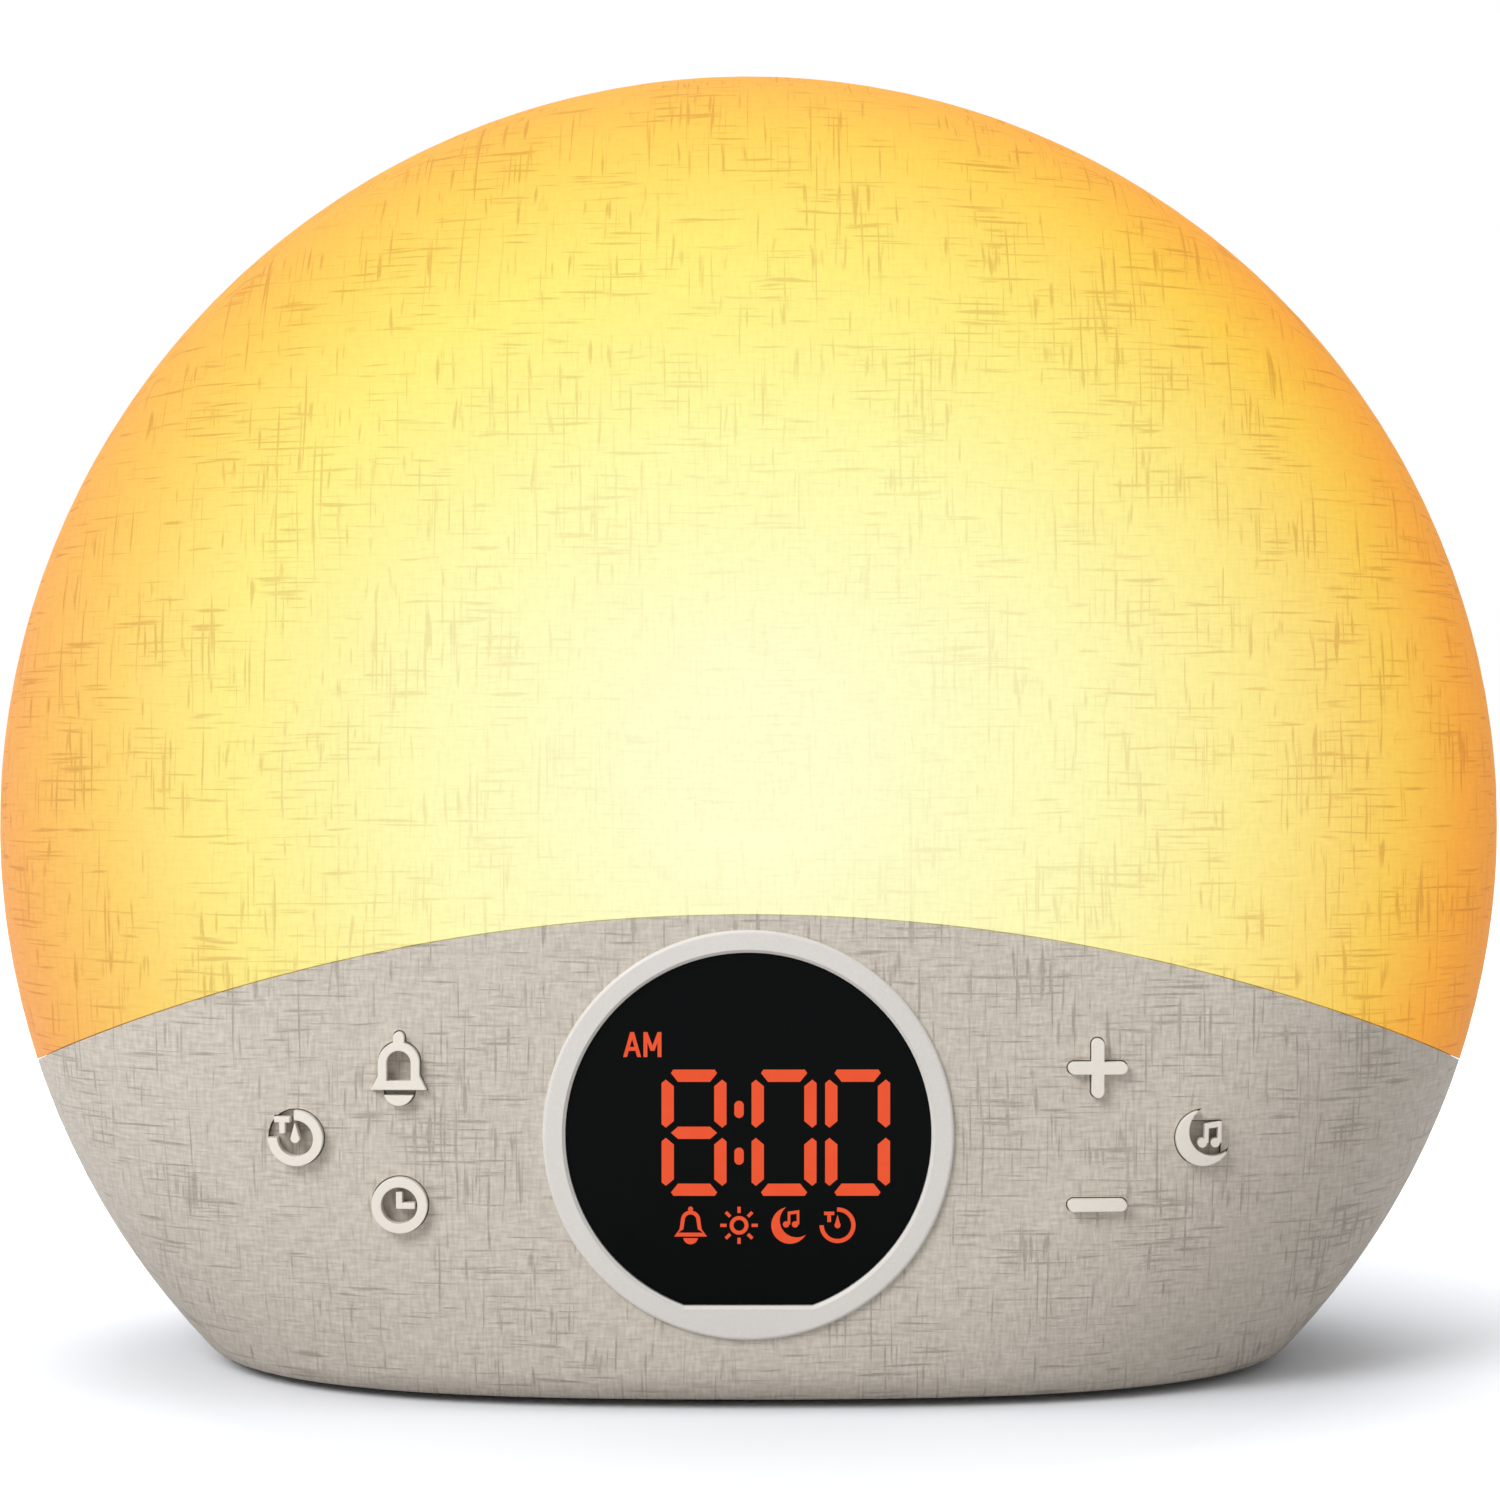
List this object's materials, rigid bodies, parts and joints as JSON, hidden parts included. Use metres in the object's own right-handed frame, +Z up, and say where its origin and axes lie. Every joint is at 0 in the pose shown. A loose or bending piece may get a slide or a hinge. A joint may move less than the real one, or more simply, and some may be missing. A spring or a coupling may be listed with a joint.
{
  "type": "sunrise alarm clock",
  "caption": "Round sunrise alarm clock with a flat base: glowing linen-pattern dome over an arched grey front with a round lit display and raised push keys.",
  "frame": {"origin": "bottom centre of the clock's box, on the plane that the feet stand on", "axes": "+Z up; -Y is the side with the display and keys; +X to the right of someone who looks at the display"},
  "size_m": [0.21, 0.0931, 0.1798],
  "materials": {
    "dome_shell": "translucent, linen-pattern texture, lit warm from within",
    "housing_shell": "warm grey, linen-pattern texture",
    "rear_shell": "warm grey, fine spark texture",
    "bezel_ring": "pale satin",
    "window": "black, smooth",
    "lit_guides": "lit orange-red",
    "block_plastic": "black moulded",
    "white_moulding": "white moulded",
    "screw_steel": "zinc plated",
    "circuit_board": "green solder mask",
    "lamp_lens": "yellow lens on white base",
    "feet": "matte",
    "can_metal": "satin",
    "gasket_foam": "closed-cell foam",
    "frame_metal": "black coated",
    "cone_paper": "pressed paper",
    "lead_jacket": "grey jacket",
    "key_plastic": "cream, satin",
    "stem_plastic": "moulded"
  },
  "bodies": {
    "root": {"diffuser_dome": "dome_shell", "front_housing": "housing_shell", "rear_housing": "rear_shell", "display_bezel": "bezel_ring", "display_mask": "window", "display_light_guides": "lit_guides", "display_led_block": "block_plastic", "reflector_tray": "white_moulding", "reflector_screws": "screw_steel", "lamp_board": "circuit_board", "lamps": "lamp_lens", "lamp_board_screws": "screw_steel", "main_board": "circuit_board", "main_board_screws": "screw_steel", "tact_switch_cases": "block_plastic", "speaker_screws": "screw_steel", "housing_screws": "screw_steel", "rubber_feet": "feet", "controller_chip": "block_plastic", "sound_chip": "block_plastic", "crystal": "can_metal", "capacitors": "can_metal", "wire_headers": "white_moulding", "speaker_gasket": "gasket_foam", "speaker_frame": "frame_metal", "speaker_magnet": "frame_metal", "speaker_cone": "cone_paper", "power_board": "circuit_board", "dc_jack": "block_plastic", "dc_jack_pin": "can_metal", "power_board_screws": "screw_steel", "coin_cell_holder": "block_plastic", "coin_cell": "can_metal", "battery_door": "rear_shell", "battery_door_screw": "screw_steel", "lamp_lead": "lead_jacket", "speaker_lead": "lead_jacket", "power_lead": "lead_jacket"},
    "timer_key": {"timer_key": "key_plastic", "timer_switch_stem": "stem_plastic"},
    "alarm_key": {"alarm_key": "key_plastic", "alarm_switch_stem": "stem_plastic"},
    "clock_key": {"clock_key": "key_plastic", "clock_switch_stem": "stem_plastic"},
    "plus_key": {"plus_key": "key_plastic", "plus_switch_stem": "stem_plastic"},
    "minus_key": {"minus_key": "key_plastic", "minus_switch_stem": "stem_plastic"},
    "sleep_sound_key": {"sleep_sound_key": "key_plastic", "sleep_sound_switch_stem": "stem_plastic"}
  },
  "joints": [
    {"name": "timer_key_press", "type": "slide", "parent": "root", "child": "timer_key", "axis": [0, 1, 0], "range_m": [0, 0.0003], "stiffness_N_per_m": 2500},
    {"name": "alarm_key_press", "type": "slide", "parent": "root", "child": "alarm_key", "axis": [0, 1, 0], "range_m": [0, 0.0003], "stiffness_N_per_m": 2500},
    {"name": "clock_key_press", "type": "slide", "parent": "root", "child": "clock_key", "axis": [0, 1, 0], "range_m": [0, 0.0003], "stiffness_N_per_m": 2500},
    {"name": "plus_key_press", "type": "slide", "parent": "root", "child": "plus_key", "axis": [0, 1, 0], "range_m": [0, 0.0003], "stiffness_N_per_m": 2500},
    {"name": "minus_key_press", "type": "slide", "parent": "root", "child": "minus_key", "axis": [0, 1, 0], "range_m": [0, 0.0003], "stiffness_N_per_m": 2500},
    {"name": "sleep_sound_key_press", "type": "slide", "parent": "root", "child": "sleep_sound_key", "axis": [0, 1, 0], "range_m": [0, 0.0003], "stiffness_N_per_m": 2500}
  ]
}
